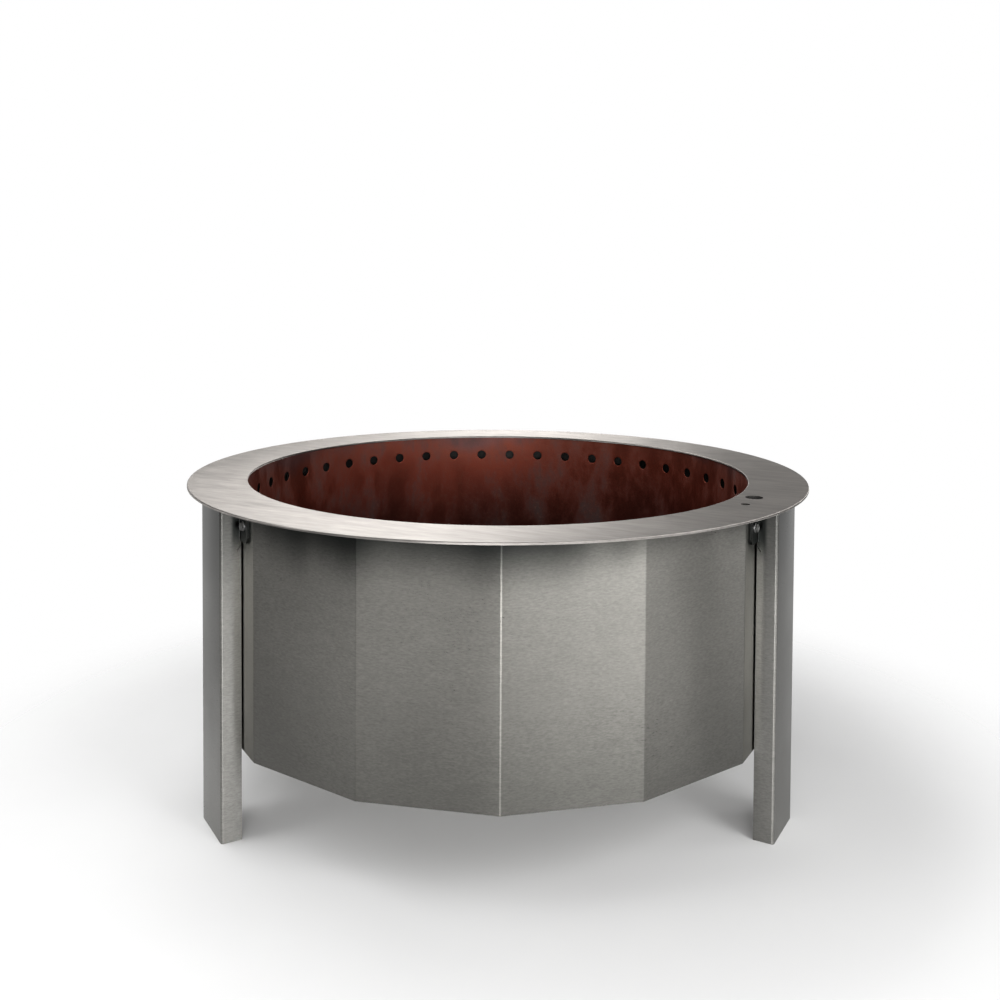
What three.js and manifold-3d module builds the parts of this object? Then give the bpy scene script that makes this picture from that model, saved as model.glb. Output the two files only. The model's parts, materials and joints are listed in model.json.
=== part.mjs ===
// Smokeless fire pit: a round rim over a folded fifteen-sided double-wall body on three channel legs.
// Millimetres, +Z up, origin on the ground under the centre, one fold of the outer wall facing -Y.
import * as THREE from 'three';
import { mergeVertices } from 'three/addons/utils/BufferGeometryUtils.js';
import Module from 'manifold-3d';

// Driving dimensions, from the fire bowl outwards.
const rimInnerRadius = 388;
const rimLap = 2;
const chamberSheet = 1.5;
const airGap = 36.4;
const wallSheet = 1.5;
const legWallClearance = 1.8;
const legDepth = 28.8;
const rimOverhang = 16.25;
const rimThickness = 3.2;
const rimEdgeBreak = 1;
const overallHeight = 465;
const bodyGroundClearance = 124;
const facetCount = 15;

// Fits shared by all the pieces.
const seatGap = 0.3;
const cutOverrun = 2;

// Folded outer wall, one panel from leg to leg, with a cover strip over each seam.
const wallBendRadius = 6;
const panelSeamGap = 0.8;
const seamCoverClearance = 14;
const seamCoverSheet = 1.5;

// Legs, with ears bent off the flanges to lie on the wall and a slanted relief cut under each ear.
const legCount = 3;
const legWidth = 90;
const legSheet = 3;
const legBendRadius = 4;
const legTopClearance = 3;
const earWidth = 30;
const earHeight = 45;
const earBendRadius = 4.5;
const earCornerRadius = 9;
const reliefWidth = 1.6;
const reliefDepth = 7;
const reliefDrop = 13;

// Leg bolts in the ears: hexagon heads outside, nuts in the air gap.
const boltRise = 22;
const boltDiameter = 6;
const boltHoleDiameter = 7;
const boltWasherDiameter = 13;
const boltWasherThickness = 1;
const boltHeadAcrossFlats = 10;
const boltHeadHeight = 4.2;
const boltStickOut = 4;
const boltPointChamfer = 1;
const nutAcrossFlats = 10;
const nutHeight = 5;
const nutBoreClearance = 0.3;

// Air holes of the burn chamber.
const upperHoleCount = 45;
const upperHoleDiameter = 16;
const upperHoleDrop = 37;
const lowerHoleCount = 30;
const lowerHoleDiameter = 11;
const lowerHoleRise = 32;

// Base plate with its turned-down flange and the intake slots under the air gap.
const baseSheet = 2;
const baseFlangeDepth = 26;
const intakeSlotsPerFacet = 2;
const intakeSlotLength = 52;
const intakeSlotWidth = 12;
const intakeSlotPitch = 74;

// Brackets under the rim, and the spacers between the walls.
const rimBracketLength = 44;
const rimBracketDrop = 28;
const rimBracketClearance = 12.4;
const rimBracketSheet = 2;
const rimBracketBend = 3;
const spacerHeight = 60;
const spacerRise = 120;
const spacerFoot = 22;
const spacerSheet = 1.5;
const spacerBend = 2.5;

// Accessory post: hole and socket over one leg, and the pin hole beside it.
const postHoleDiameter = 25;
const socketWall = 1.2;
const socketClearance = 0.7;
const socketDepth = 120;
const socketFloor = 2;
const pinHoleDiameter = 12.5;
const pinHoleShift = 3.5;
const pinHoleOffset = 53;

// Ash pan, a flared dish with a flat lip.
const panRimClearance = 30;
const panLipWidth = 14;
const panFlare = 34;
const panHeight = 42;
const panSheet = 1.5;

// Fire grate on four angle feet that stand in the pan, with rows of slots placed by shares of its radius.
const grateRimClearance = 14;
const grateThickness = 4;
const grateEdgeBreak = 0.8;
const grateLiftHoleDiameter = 32;
const grateSlotWidth = 15;
const grateSlotRowShares = [
  { count: 8, inner: 0.13, outer: 0.32 },
  { count: 16, inner: 0.39, outer: 0.6 },
  { count: 24, inner: 0.68, outer: 0.9 },
];
const footCount = 4;
const panGrateClearance = 4;
const footLeg = 28;
const footSheet = 3;
const footBend = 4;
const footInset = 35;

// Facets used for round forms.
const rimSegments = 108;
const chamberSegments = 90;
const panSegments = 54;
const grateSegments = 60;
const socketSegments = 16;
const boltSegments = 10;
const upperHoleSegments = 10;
const lowerHoleSegments = 8;
const slotEndSteps = 2;
const bendSteps = 3;

// Finishes.
const rimSteel = { color: 0xb3aeac, roughness: 0.42, metalness: 1 };
const wallSteel = { color: 0x85827d, roughness: 0.45, metalness: 1 };
const legSteel = { color: 0x8d8b88, roughness: 0.45, metalness: 1 };
const burntSteel = { color: 0x4a2a1e, roughness: 0.62, metalness: 0.8 };
const innerSteel = { color: 0x76736f, roughness: 0.55, metalness: 0.9 };
const sootedSteel = { color: 0x38302c, roughness: 0.8, metalness: 0.5 };
const zincSteel = { color: 0xa2a3a3, roughness: 0.35, metalness: 1 };

// Angles, radii and levels that follow from the sizes above.
const halfTurn = Math.PI;
const quarterTurn = Math.PI / 2;
const fullTurn = Math.PI * 2;
const facetAngle = fullTurn / facetCount;
const legAngle = fullTurn / legCount;
const facetsPerPanel = facetCount / legCount;
const chamberInnerRadius = rimInnerRadius + rimLap;
const chamberOuterRadius = chamberInnerRadius + chamberSheet;
const wallInnerFlat = chamberOuterRadius + airGap;
const wallFlatRadius = wallInnerFlat + wallSheet;
const legReach = wallFlatRadius + legWallClearance + legDepth;
const rimOuterRadius = legReach + rimOverhang;
const rimUnderside = overallHeight - rimThickness;
const wallTop = rimUnderside - seatGap;
const wallHeight = wallTop - bodyGroundClearance;
const baseTop = bodyGroundClearance + baseFlangeDepth;
const chamberBottom = baseTop + seatGap;
const chamberHeight = wallTop - chamberBottom;
const airGapCentre = chamberOuterRadius + airGap / 2;
const legHeight = rimUnderside - legTopClearance;
const earFace = wallFlatRadius + seatGap;
const boltLevel = legHeight - earHeight + boltRise;
const boltOffset = (legWidth + earWidth) / 2;
const socketRadius = postHoleDiameter / 2 + socketWall;
const postRadius = wallInnerFlat - socketClearance - socketRadius;

const wasm = await Module();
wasm.setup();

// A closed geometry as a solid that can be cut and joined.
function solid(geometry) {
  const bare = geometry.index ? geometry.toNonIndexed() : geometry.clone();
  bare.deleteAttribute('normal');
  bare.deleteAttribute('uv');
  const merged = mergeVertices(bare);
  return new wasm.Manifold(new wasm.Mesh({
    numProp: 3,
    vertProperties: new Float32Array(merged.attributes.position.array),
    triVerts: new Uint32Array(merged.index.array),
  }));
}

// The solid's faces as a flat-shaded geometry.
function geometryOf(manifold) {
  const { vertProperties, triVerts } = manifold.getMesh();
  const geometry = new THREE.BufferGeometry();
  geometry.setAttribute('position', new THREE.BufferAttribute(vertProperties, 3));
  geometry.setIndex(new THREE.BufferAttribute(triVerts, 1));
  const flat = geometry.toNonIndexed();
  flat.computeVertexNormals();
  return flat;
}

// One geometry with every tool geometry cut out of it.
function cut(geometry, tools) {
  return geometryOf(tools.reduce((body, tool) => body.subtract(solid(tool)), solid(geometry)));
}

// Overlapping geometries joined into one body.
function join(geometries) {
  return geometryOf(geometries.map(solid).reduce((body, next) => body.add(next)));
}

function extrude(shape, depth, curveSegments = bendSteps) {
  return new THREE.ExtrudeGeometry(shape, { depth, bevelEnabled: false, curveSegments });
}

// A lathe ring or solid about Z from [radius, height] points.
function turn(profile, segments) {
  const points = profile.map(([radius, height]) => new THREE.Vector2(radius, height));
  if (profile[0][0] !== 0) points.push(points[0].clone());
  return new THREE.LatheGeometry(points, segments).rotateX(quarterTurn);
}

function circle(radius, segments) {
  const points = [];
  for (let i = 0; i < segments; i += 1) {
    const angle = (i / segments) * fullTurn;
    points.push(new THREE.Vector2(Math.cos(angle) * radius, Math.sin(angle) * radius));
  }
  return points;
}

// A round bar along Z from the level given.
function bar(diameter, bottom, height, segments = boltSegments) {
  return extrude(new THREE.Shape(circle(diameter / 2, segments)), height).translate(0, 0, bottom);
}

// A round cutter along Y, centred on the origin.
function crossBar(diameter, length, segments = boltSegments) {
  return bar(diameter, -length / 2, length, segments).rotateX(quarterTurn);
}

function hexagon(acrossFlats) {
  return new THREE.Shape(circle(acrossFlats / Math.sqrt(3), 6));
}

// A regular polygon whose flats lie at the radius given, with its first corner on -Y.
function polygon(flatRadius) {
  const corner = flatRadius / Math.cos(facetAngle / 2);
  const points = [];
  for (let i = 0; i < facetCount; i += 1) {
    const angle = i * facetAngle - quarterTurn;
    points.push(new THREE.Vector2(Math.cos(angle) * corner, Math.sin(angle) * corner));
  }
  return new THREE.Shape(points);
}

// A cutter for a slot with round ends along Y, through a sheet that stands on z = 0.
function slotCutter(length, width, sheet) {
  const shape = new THREE.Shape();
  const straight = (length - width) / 2;
  shape.absarc(0, straight, width / 2, 0, halfTurn);
  shape.absarc(0, -straight, width / 2, halfTurn, fullTurn);
  return extrude(shape, sheet + 2 * cutOverrun, slotEndSteps).translate(0, 0, -cutOverrun);
}

// The cross-section of folded sheet: a strip of even thickness along a centre line, with an arc
// at each corner. One bend radius serves every corner, or a list gives each corner its own.
function foldedStrip(line, sheet, bendRadius) {
  const radii = [bendRadius].flat();
  const left = [];
  const right = [];
  const offset = (point, across) => {
    left.push(point.clone().addScaledVector(across, sheet / 2));
    right.push(point.clone().addScaledVector(across, -sheet / 2));
  };
  const points = line.map(([x, y]) => new THREE.Vector2(x, y));
  const heading = (i) => points[i + 1].clone().sub(points[i]).normalize();
  const leftOf = (direction) => new THREE.Vector2(-direction.y, direction.x);
  offset(points[0], leftOf(heading(0)));
  for (let i = 1; i < points.length - 1; i += 1) {
    const before = heading(i - 1);
    const after = heading(i);
    const bend = Math.atan2(before.cross(after), before.dot(after));
    const side = Math.sign(bend);
    const radius = radii[(i - 1) % radii.length];
    const setback = radius * Math.tan(Math.abs(bend) / 2);
    const start = points[i].clone().addScaledVector(before, -setback);
    const centre = start.clone().addScaledVector(leftOf(before), side * radius);
    for (let step = 0; step <= bendSteps; step += 1) {
      const across = leftOf(before).rotateAround(new THREE.Vector2(), (bend * step) / bendSteps);
      offset(centre.clone().addScaledVector(across, -side * radius), across);
    }
  }
  offset(points[points.length - 1], leftOf(heading(points.length - 2)));
  return new THREE.Shape([...left, ...right.reverse()]);
}

const firePit = new THREE.Group();

// A group turned so that its -Y points outwards at the azimuth, counted from the front.
function station(azimuth, parent = firePit) {
  const group = new THREE.Group();
  group.rotation.z = azimuth;
  parent.add(group);
  return group;
}

function place(name, geometry, finish, parent = firePit, position = [0, 0, 0]) {
  const mesh = new THREE.Mesh(geometry, new THREE.MeshStandardMaterial(finish));
  mesh.name = name;
  mesh.position.set(...position);
  parent.add(mesh);
  return mesh;
}

const legSides = ['right', 'rear', 'left'];
const legAzimuth = (index) => legAngle / 2 + index * legAngle;

// Rim: a flat plate ring with broken edges, the post hole over the right leg and the pin hole beside it.
function rimGeometry() {
  const ring = turn([
    [rimInnerRadius, rimUnderside],
    [rimOuterRadius, rimUnderside],
    [rimOuterRadius, overallHeight - rimEdgeBreak],
    [rimOuterRadius - rimEdgeBreak, overallHeight],
    [rimInnerRadius + rimEdgeBreak, overallHeight],
    [rimInnerRadius, overallHeight - rimEdgeBreak],
  ], rimSegments);
  const depth = rimThickness + 2 * cutOverrun;
  const tools = [
    bar(postHoleDiameter, rimUnderside - cutOverrun, depth, socketSegments).translate(0, -postRadius, 0),
    bar(pinHoleDiameter, rimUnderside - cutOverrun, depth)
      .translate(-pinHoleOffset, -postRadius - pinHoleShift, 0),
  ];
  return cut(ring, tools.map((tool) => tool.rotateZ(legAzimuth(0))));
}
place('rim', rimGeometry(), rimSteel);

// Outer wall panel: five facets folded from one sheet, half a facet at each end.
// It is drawn about its middle fold line or facet, facing -Y, and drilled for the two legs that it meets.
function panelGeometry() {
  const middle = wallFlatRadius - wallSheet / 2;
  const corner = middle / Math.cos(facetAngle / 2);
  const seam = panelSeamGap / 2;
  const halfSpan = legAngle / 2;
  const end = (sign) => new THREE.Vector2(-sign * seam, -middle)
    .rotateAround(new THREE.Vector2(), sign * halfSpan)
    .toArray();
  const folds = [];
  for (let i = 0; i < facetsPerPanel; i += 1) {
    const azimuth = -halfSpan + (i + 0.5) * facetAngle;
    folds.push([Math.sin(azimuth) * corner, -Math.cos(azimuth) * corner]);
  }
  const strip = extrude(foldedStrip([end(-1), ...folds, end(1)], wallSheet, wallBendRadius), wallHeight)
    .translate(0, 0, bodyGroundClearance);
  const holes = [-1, 1].map((sign) => crossBar(boltHoleDiameter, wallSheet + 2 * cutOverrun)
    .translate(-sign * boltOffset, -middle, boltLevel)
    .rotateZ(sign * halfSpan));
  return cut(strip, holes);
}
['front', 'right', 'left'].forEach((side, index) => {
  place(`outer_panel_${side}`, panelGeometry(), wallSteel, station(index * legAngle));
});

// Seam cover: a strip on the wall behind each leg, over the joint of two panels.
function seamCoverGeometry() {
  const width = legWidth - 2 * (legSheet + seamCoverClearance);
  return new THREE.BoxGeometry(width, seamCoverSheet, wallHeight);
}

// Cutter for the lower outer corner of an ear: what lies outside the corner's arc.
function earCornerCutter(sign) {
  const arc = Array.from({ length: bendSteps + 1 }, (_, i) => {
    const angle = (i / bendSteps - 1) * quarterTurn;
    return [(Math.cos(angle) - 1) * earCornerRadius, (Math.sin(angle) + 1) * earCornerRadius];
  });
  const outside = [[cutOverrun, earCornerRadius], [cutOverrun, -cutOverrun], [-earCornerRadius, -cutOverrun]];
  const shape = new THREE.Shape([...arc, ...outside].map(([x, z]) => new THREE.Vector2(x * sign, z)));
  return extrude(shape, legSheet + 2 * cutOverrun)
    .rotateX(quarterTurn)
    .translate(sign * (legWidth / 2 + earWidth), cutOverrun - earFace, legHeight - earHeight);
}

// Relief cut through both flanges: it slants down and outwards from the root of the ears.
function reliefCutter() {
  const edge = cutOverrun - earFace;
  const depth = cutOverrun + reliefDepth;
  const shape = new THREE.Shape([
    new THREE.Vector2(edge, 0),
    new THREE.Vector2(edge - depth, -reliefDrop),
    new THREE.Vector2(edge - depth, -reliefDrop - reliefWidth),
    new THREE.Vector2(edge, -reliefWidth),
  ]);
  const across = legWidth + 2 * cutOverrun;
  return extrude(shape, across)
    .rotateX(quarterTurn)
    .rotateZ(quarterTurn)
    .translate(-across / 2, 0, legHeight - earHeight);
}

// Leg: a folded channel with its web outwards, standing on its cut end. At the top its flanges
// fold outwards into two ears that lie on the wall.
function legGeometry() {
  const side = (legWidth - legSheet) / 2;
  const web = legReach - legSheet / 2;
  const edge = wallFlatRadius + legWallClearance;
  const ear = earFace + legSheet / 2;
  const tip = legWidth / 2 + earWidth;
  const webBend = legBendRadius - legSheet / 2;
  const earBend = earBendRadius - legSheet / 2;
  const corners = [[-side, -web], [side, -web]];
  const channel = foldedStrip([[-side, -edge], ...corners, [side, -edge]], legSheet, webBend);
  const hat = foldedStrip(
    [[-tip, -ear], [-side, -ear], ...corners, [side, -ear], [tip, -ear]],
    legSheet,
    [earBend, webBend, webBend, earBend],
  );
  const earLevel = legHeight - earHeight;
  const body = join([extrude(channel, earLevel), extrude(hat, earHeight).translate(0, 0, earLevel)]);
  const hole = (sign) => crossBar(boltHoleDiameter, legSheet + 2 * cutOverrun)
    .translate(sign * boltOffset, -ear, boltLevel);
  return cut(body, [reliefCutter(), ...[-1, 1].flatMap((sign) => [earCornerCutter(sign), hole(sign)])]);
}

// Bolt: hexagon head with a washer face, shank pointing inwards (+Y), its seat at y = 0.
function boltGeometry() {
  const radius = boltDiameter / 2;
  const reach = legSheet + earFace - wallInnerFlat + seatGap + nutHeight + boltStickOut;
  const shank = turn([
    [0, -reach],
    [radius - boltPointChamfer, -reach],
    [radius, boltPointChamfer - reach],
    [radius, seatGap],
    [boltWasherDiameter / 2, seatGap],
    [boltWasherDiameter / 2, seatGap + boltWasherThickness],
    [0, seatGap + boltWasherThickness],
  ], boltSegments);
  const head = extrude(hexagon(boltHeadAcrossFlats), boltHeadHeight).translate(0, 0, seatGap);
  return join([shank, head]).rotateX(quarterTurn);
}

function nutGeometry() {
  const bore = boltDiameter + 2 * nutBoreClearance;
  const blank = extrude(hexagon(nutAcrossFlats), nutHeight).translate(0, 0, -nutHeight);
  return cut(blank, [bar(bore, -nutHeight - cutOverrun, nutHeight + 2 * cutOverrun)]).rotateX(quarterTurn);
}

legSides.forEach((side, index) => {
  const post = station(legAzimuth(index));
  place(`leg_${side}`, legGeometry(), legSteel, post);
  place(`seam_cover_${side}`, seamCoverGeometry(), wallSteel, post,
    [0, -earFace - seamCoverSheet / 2, bodyGroundClearance + wallHeight / 2]);
  [-1, 1].forEach((sign, hand) => {
    const suffix = `${side}_${hand + 1}`;
    const at = (face) => [sign * boltOffset, face, boltLevel];
    place(`leg_bolt_${suffix}`, boltGeometry(), zincSteel, post, at(-earFace - legSheet));
    place(`leg_nut_${suffix}`, nutGeometry(), zincSteel, post, at(seatGap - wallInnerFlat));
  });
});

// Inner wall: the round burn chamber, with the secondary air holes under the rim
// and the primary ones low down.
// Each hole is centred on a flat of the faceted round.
function chamberGeometry() {
  const outer = new THREE.Shape(circle(chamberOuterRadius, chamberSegments));
  outer.holes.push(new THREE.Path(circle(chamberInnerRadius, chamberSegments)));
  const shell = extrude(outer, chamberHeight)
    .rotateZ(-quarterTurn + fullTurn / chamberSegments / 2)
    .translate(0, 0, chamberBottom);
  const middle = chamberInnerRadius + chamberSheet / 2;
  const ringOf = (count, diameter, level, segments) => Array.from({ length: count }, (_, i) => (
    crossBar(diameter, chamberSheet + 2 * cutOverrun, segments)
      .translate(0, -middle, level)
      .rotateZ((i / count) * fullTurn)
  ));
  return cut(shell, [
    ...ringOf(upperHoleCount, upperHoleDiameter, overallHeight - upperHoleDrop, upperHoleSegments),
    ...ringOf(lowerHoleCount, lowerHoleDiameter, chamberBottom + lowerHoleRise, lowerHoleSegments),
  ]);
}
place('inner_wall', chamberGeometry(), burntSteel);

// Base plate: a polygon sheet inside the outer wall with its flange turned down,
// slotted under the air gap between the walls.
function baseGeometry() {
  const outer = wallInnerFlat - seatGap;
  const plate = extrude(polygon(outer), baseFlangeDepth).translate(0, 0, bodyGroundClearance);
  const recess = extrude(polygon(outer - baseSheet), baseFlangeDepth - baseSheet + cutOverrun)
    .translate(0, 0, bodyGroundClearance - cutOverrun);
  const slots = [];
  for (let facet = 0; facet < facetCount; facet += 1) {
    for (let i = 0; i < intakeSlotsPerFacet; i += 1) {
      const along = (i - (intakeSlotsPerFacet - 1) / 2) * intakeSlotPitch;
      slots.push(slotCutter(intakeSlotLength, intakeSlotWidth, baseSheet)
        .rotateZ(quarterTurn)
        .translate(along, -airGapCentre, baseTop - baseSheet)
        .rotateZ((facet + 0.5) * facetAngle));
    }
  }
  return cut(plate, [recess, ...slots]);
}
place('base_plate', baseGeometry(), innerSteel);

// Rim brackets: angles on the inside of the outer wall with their upper leaf under the rim.
function rimBracketGeometry() {
  const face = rimBracketSheet / 2;
  const line = [[airGap - rimBracketClearance, -face], [face, -face], [face, -rimBracketDrop]];
  return extrude(foldedStrip(line, rimBracketSheet, rimBracketBend), rimBracketLength)
    .translate(0, 0, -rimBracketLength / 2)
    .rotateX(quarterTurn)
    .rotateZ(quarterTurn);
}

// Wall spacers: Z-folded strips that bridge the air gap.
function spacerGeometry() {
  const face = spacerSheet / 2;
  const outer = wallInnerFlat - seatGap - face;
  const inner = chamberOuterRadius + seatGap + face;
  const line = [[-spacerFoot, -outer], [0, -outer], [0, -inner], [spacerFoot, -inner]];
  return extrude(foldedStrip(line, spacerSheet, spacerBend), spacerHeight)
    .translate(0, 0, chamberBottom + spacerRise);
}

// Two rim brackets and one spacer stand on the facets between each pair of legs.
legSides.forEach((side, index) => {
  const between = legAzimuth(index);
  [1, facetsPerPanel - 1].forEach((facets, hand) => {
    place(`rim_bracket_${side}_${hand + 1}`, rimBracketGeometry(), innerSteel,
      station(between + facets * facetAngle), [0, seatGap - wallInnerFlat, rimUnderside - seatGap]);
  });
  place(`wall_spacer_${side}`, spacerGeometry(), innerSteel, station(between + 2 * facetAngle));
});

// Post socket: a closed-bottom tube under the post hole, in the air gap.
function socketGeometry() {
  const bore = postHoleDiameter / 2;
  const top = rimUnderside - seatGap;
  return turn([
    [0, top - socketDepth - socketFloor],
    [socketRadius, top - socketDepth - socketFloor],
    [socketRadius, top],
    [bore, top],
    [bore, top - socketDepth],
    [0, top - socketDepth],
  ], socketSegments);
}
place('post_socket', socketGeometry(), innerSteel, station(legAzimuth(0)), [0, -postRadius, 0]);

// Ash pan: a flared dish standing on the base plate, with a flat lip to lift it by.
const panLevel = baseTop + seatGap;
const panLipRadius = rimInnerRadius - panRimClearance;
const panBrimRadius = panLipRadius - panLipWidth;
const panFloorRadius = panBrimRadius - panFlare;
function panGeometry() {
  const slantedSheet = (panSheet * Math.hypot(panFlare, panHeight)) / panHeight;
  return turn([
    [0, 0],
    [panFloorRadius, 0],
    [panBrimRadius, panHeight - panSheet],
    [panLipRadius, panHeight - panSheet],
    [panLipRadius, panHeight],
    [panBrimRadius - slantedSheet, panHeight],
    [panFloorRadius - slantedSheet, panSheet],
    [0, panSheet],
  ], panSegments);
}
place('ash_pan', panGeometry(), sootedSteel, firePit, [0, 0, panLevel]);

// Fire grate: a thick plate with rows of radial slots and a lifting hole in the middle.
const footHeight = panHeight + panGrateClearance;
const footLevel = panLevel + panSheet + seatGap;
const grateLevel = footLevel + footHeight + seatGap;
const grateRadius = rimInnerRadius - grateRimClearance;
function grateGeometry() {
  const blank = turn([
    [grateLiftHoleDiameter / 2, 0],
    [grateRadius, 0],
    [grateRadius, grateThickness - grateEdgeBreak],
    [grateRadius - grateEdgeBreak, grateThickness],
    [grateLiftHoleDiameter / 2, grateThickness],
  ], grateSegments);
  const slotRow = ({ count, inner, outer }) => Array.from({ length: count }, (_, i) => (
    slotCutter((outer - inner) * grateRadius, grateSlotWidth, grateThickness)
      .translate(0, (grateRadius * (inner + outer)) / 2, 0)
      .rotateZ(((i + 0.5) / count) * fullTurn)
  ));
  return cut(blank, grateSlotRowShares.flatMap(slotRow));
}
place('fire_grate', grateGeometry(), sootedSteel, firePit, [0, 0, grateLevel]);

// Grate feet: short angles, their corner towards the middle.
function footGeometry() {
  const line = [[-footLeg, 0], [0, 0], [0, footLeg]];
  return extrude(foldedStrip(line, footSheet, footBend), footHeight).rotateZ(-quarterTurn / 2);
}
for (let i = 0; i < footCount; i += 1) {
  place(`grate_foot_${i + 1}`, footGeometry(), sootedSteel, station((i / footCount) * fullTurn),
    [0, footInset - panFloorRadius, footLevel]);
}

export default firePit;
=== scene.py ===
import bmesh
import bpy
import json
import math
from mathutils import Matrix, Vector


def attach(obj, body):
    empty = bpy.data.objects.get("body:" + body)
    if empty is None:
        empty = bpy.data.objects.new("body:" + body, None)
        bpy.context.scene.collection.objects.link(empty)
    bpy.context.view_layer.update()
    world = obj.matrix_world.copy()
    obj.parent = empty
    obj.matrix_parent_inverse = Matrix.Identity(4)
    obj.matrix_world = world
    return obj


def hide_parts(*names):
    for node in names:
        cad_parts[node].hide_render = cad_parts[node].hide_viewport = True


# Smokeless fire pit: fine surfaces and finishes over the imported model, its floor, light and camera.
# The sizes of the pieces are in millimetres and are scaled to metres when a mesh is made. Those of
# the materials, floor, lamps and camera are in metres. +Z is up, the ground is at zero, and the
# front fold of the outer wall faces -Y. Azimuths count from the front towards +X.

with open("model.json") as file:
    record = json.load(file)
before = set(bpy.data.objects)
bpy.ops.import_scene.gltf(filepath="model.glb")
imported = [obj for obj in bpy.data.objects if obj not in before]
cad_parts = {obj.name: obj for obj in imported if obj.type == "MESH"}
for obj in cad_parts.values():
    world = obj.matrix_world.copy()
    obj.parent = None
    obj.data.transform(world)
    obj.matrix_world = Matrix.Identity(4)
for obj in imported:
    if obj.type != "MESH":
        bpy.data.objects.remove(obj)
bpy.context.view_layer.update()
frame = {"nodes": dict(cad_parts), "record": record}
SLOTS = {part["node"]: part["material_slot"] for part in frame["record"]["subparts"]}
BODIES = {member: body for body, members in frame["record"]["behaviour"]["bodies"].items()
          for member in members}

MM = 0.001
FULL_TURN = 2 * math.pi
QUARTER_TURN = math.pi / 2

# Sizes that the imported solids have. SEAT is the gap between pieces that touch.
SEAT = 0.3
HEIGHT = 465.0
RIM_INNER = 388.0
RIM_OUTER = 476.25
RIM_SHEET = 3.2
RIM_EDGE = 1.0
RIM_UNDER = HEIGHT - RIM_SHEET

WALL_INNER = 427.9
WALL_SHEET = 1.5
WALL_OUTER = WALL_INNER + WALL_SHEET
WALL_TOP = RIM_UNDER - SEAT
WALL_BOTTOM = 124.0
WALL_BEND = 6.0
SEAM_SETBACK = 0.4
FACETS = 15
FACET_ANGLE = FULL_TURN / FACETS
PANELS = ("front", "right", "left")

LEGS = ("right", "rear", "left")
LEG_ANGLE = FULL_TURN / len(LEGS)
LEG_REACH = 460.0
LEG_WIDTH = 90.0
LEG_SHEET = 3.0
LEG_HEIGHT = 458.8
LEG_BEND = 2.5
LEG_CLEARANCE = 1.8
EAR_WIDTH = 30.0
EAR_HEIGHT = 45.0
EAR_BEND = 3.0
EAR_CORNER = 9.0
EAR_FACE = WALL_OUTER + SEAT
EAR_LEVEL = LEG_HEIGHT - EAR_HEIGHT
RELIEF_REACH = 9.0
RELIEF_DROP = 13.0
RELIEF_WIDTH = 1.6

BOLT_LEVEL = EAR_LEVEL + 22.0
BOLT_OFFSET = (LEG_WIDTH + EAR_WIDTH) / 2
BOLT_HOLE = 3.5
BOLT_RADIUS = 3.0
BOLT_EXCESS = 4.0
# The washer flange under the bolt's head: radius and height over the seat of each of its rings.
BOLT_FLANGE = ((6.5, 0), (6.5, 0.7), (6.2, 1.0), (5.8, 1.15))
HEAD_BOTTOM = 1.2
HEAD_TOP = 4.2
HEAD_DIMPLE = 3.6
HEX_FLATS = 10.0
HEX_CROWN = 0.96
NUT_HEIGHT = 5.0
NUT_BORE = 3.3
NUT_LEAD = 0.4

BASE_TOP = 150.0
CHAMBER_INNER = 390.0
CHAMBER_SHEET = 1.5
CHAMBER_BOTTOM = BASE_TOP + SEAT
# The rows of air holes: level, degrees from hole to hole, half the height of the cell that the grid
# keeps for each, and radius.
UPPER_HOLES = (HEIGHT - 37, 8, 18, 8.0)
LOWER_HOLES = (CHAMBER_BOTTOM + 32, 12, 17, 5.5)
PLAIN_LEVELS = (255, 310, 365)
HOLE_ROUNDING = 0.35
CELL_RIM = 4
CELL_ROWS = 4

PAN_LEVEL = BASE_TOP + SEAT
PAN_SHEET = 1.5
PAN_FLOOR = 310.0
PAN_RADIUS = 358.0
PAN_LIP = 14
PAN_DEPTH = 42
PAN_BEND = 6.0

FOOT_LEVEL = PAN_LEVEL + PAN_SHEET + SEAT
FOOT_RADIUS = 275
FOOT_HEIGHT = 46
FOOT_ARM = 28
FOOT_SHEET = 3
FOOT_BEND = 4.0

GRATE_LEVEL = FOOT_LEVEL + FOOT_HEIGHT + SEAT
GRATE_RADIUS = 374.0
GRATE_SHEET = 4.0
GRATE_EDGE = 0.8
GRATE_HOLE = 16
SLOT_WIDTH = 15
# The rows of slots: their number, and where they begin and end as shares of the radius.
SLOT_ROWS = ((8, 0.13, 0.32), (16, 0.39, 0.6), (24, 0.68, 0.9))

POST_HOLE = 12.5
SOCKET_OUTER = 13.7
SOCKET_DEPTH = 120
SOCKET_FLOOR = 2
SOCKET_GAP = 0.7
POST_RADIUS = WALL_INNER - SOCKET_GAP - SOCKET_OUTER
PIN_HOLE = 6.25
PIN_PLACE = (-53.0, -POST_RADIUS - 3.5)

# How finely round forms are divided, and how far a cutting tool stands out of what it cuts.
RIM_SEGMENTS = 288
DISH_SEGMENTS = 216
POST_SEGMENTS = 56
BOLT_SEGMENTS = 48
HOLE_SEGMENTS = 40
FOLD_STEPS = 8
OVERCUT = 2

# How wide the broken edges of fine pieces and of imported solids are, and by how many degrees an edge
# has to bend to count as sharp.
FINE_EDGE = 0.25
FINE_SHARP = 32
PACKED_EDGE = 0.2
PACKED_SHARP = 40
WELD_REACH = 0.01


def leg_azimuth(index):
    return LEG_ANGLE / 2 + index * LEG_ANGLE


def polar(radius, azimuth, level):
    """A point from its distance to the Z axis, its azimuth and its level."""
    return radius * math.sin(azimuth), -radius * math.cos(azimuth), level


def circle(radius, count):
    """Points round the Z axis, in plan."""
    angles = [FULL_TURN * i / count for i in range(count)]
    return [(radius * math.cos(angle), radius * math.sin(angle)) for angle in angles]


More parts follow.
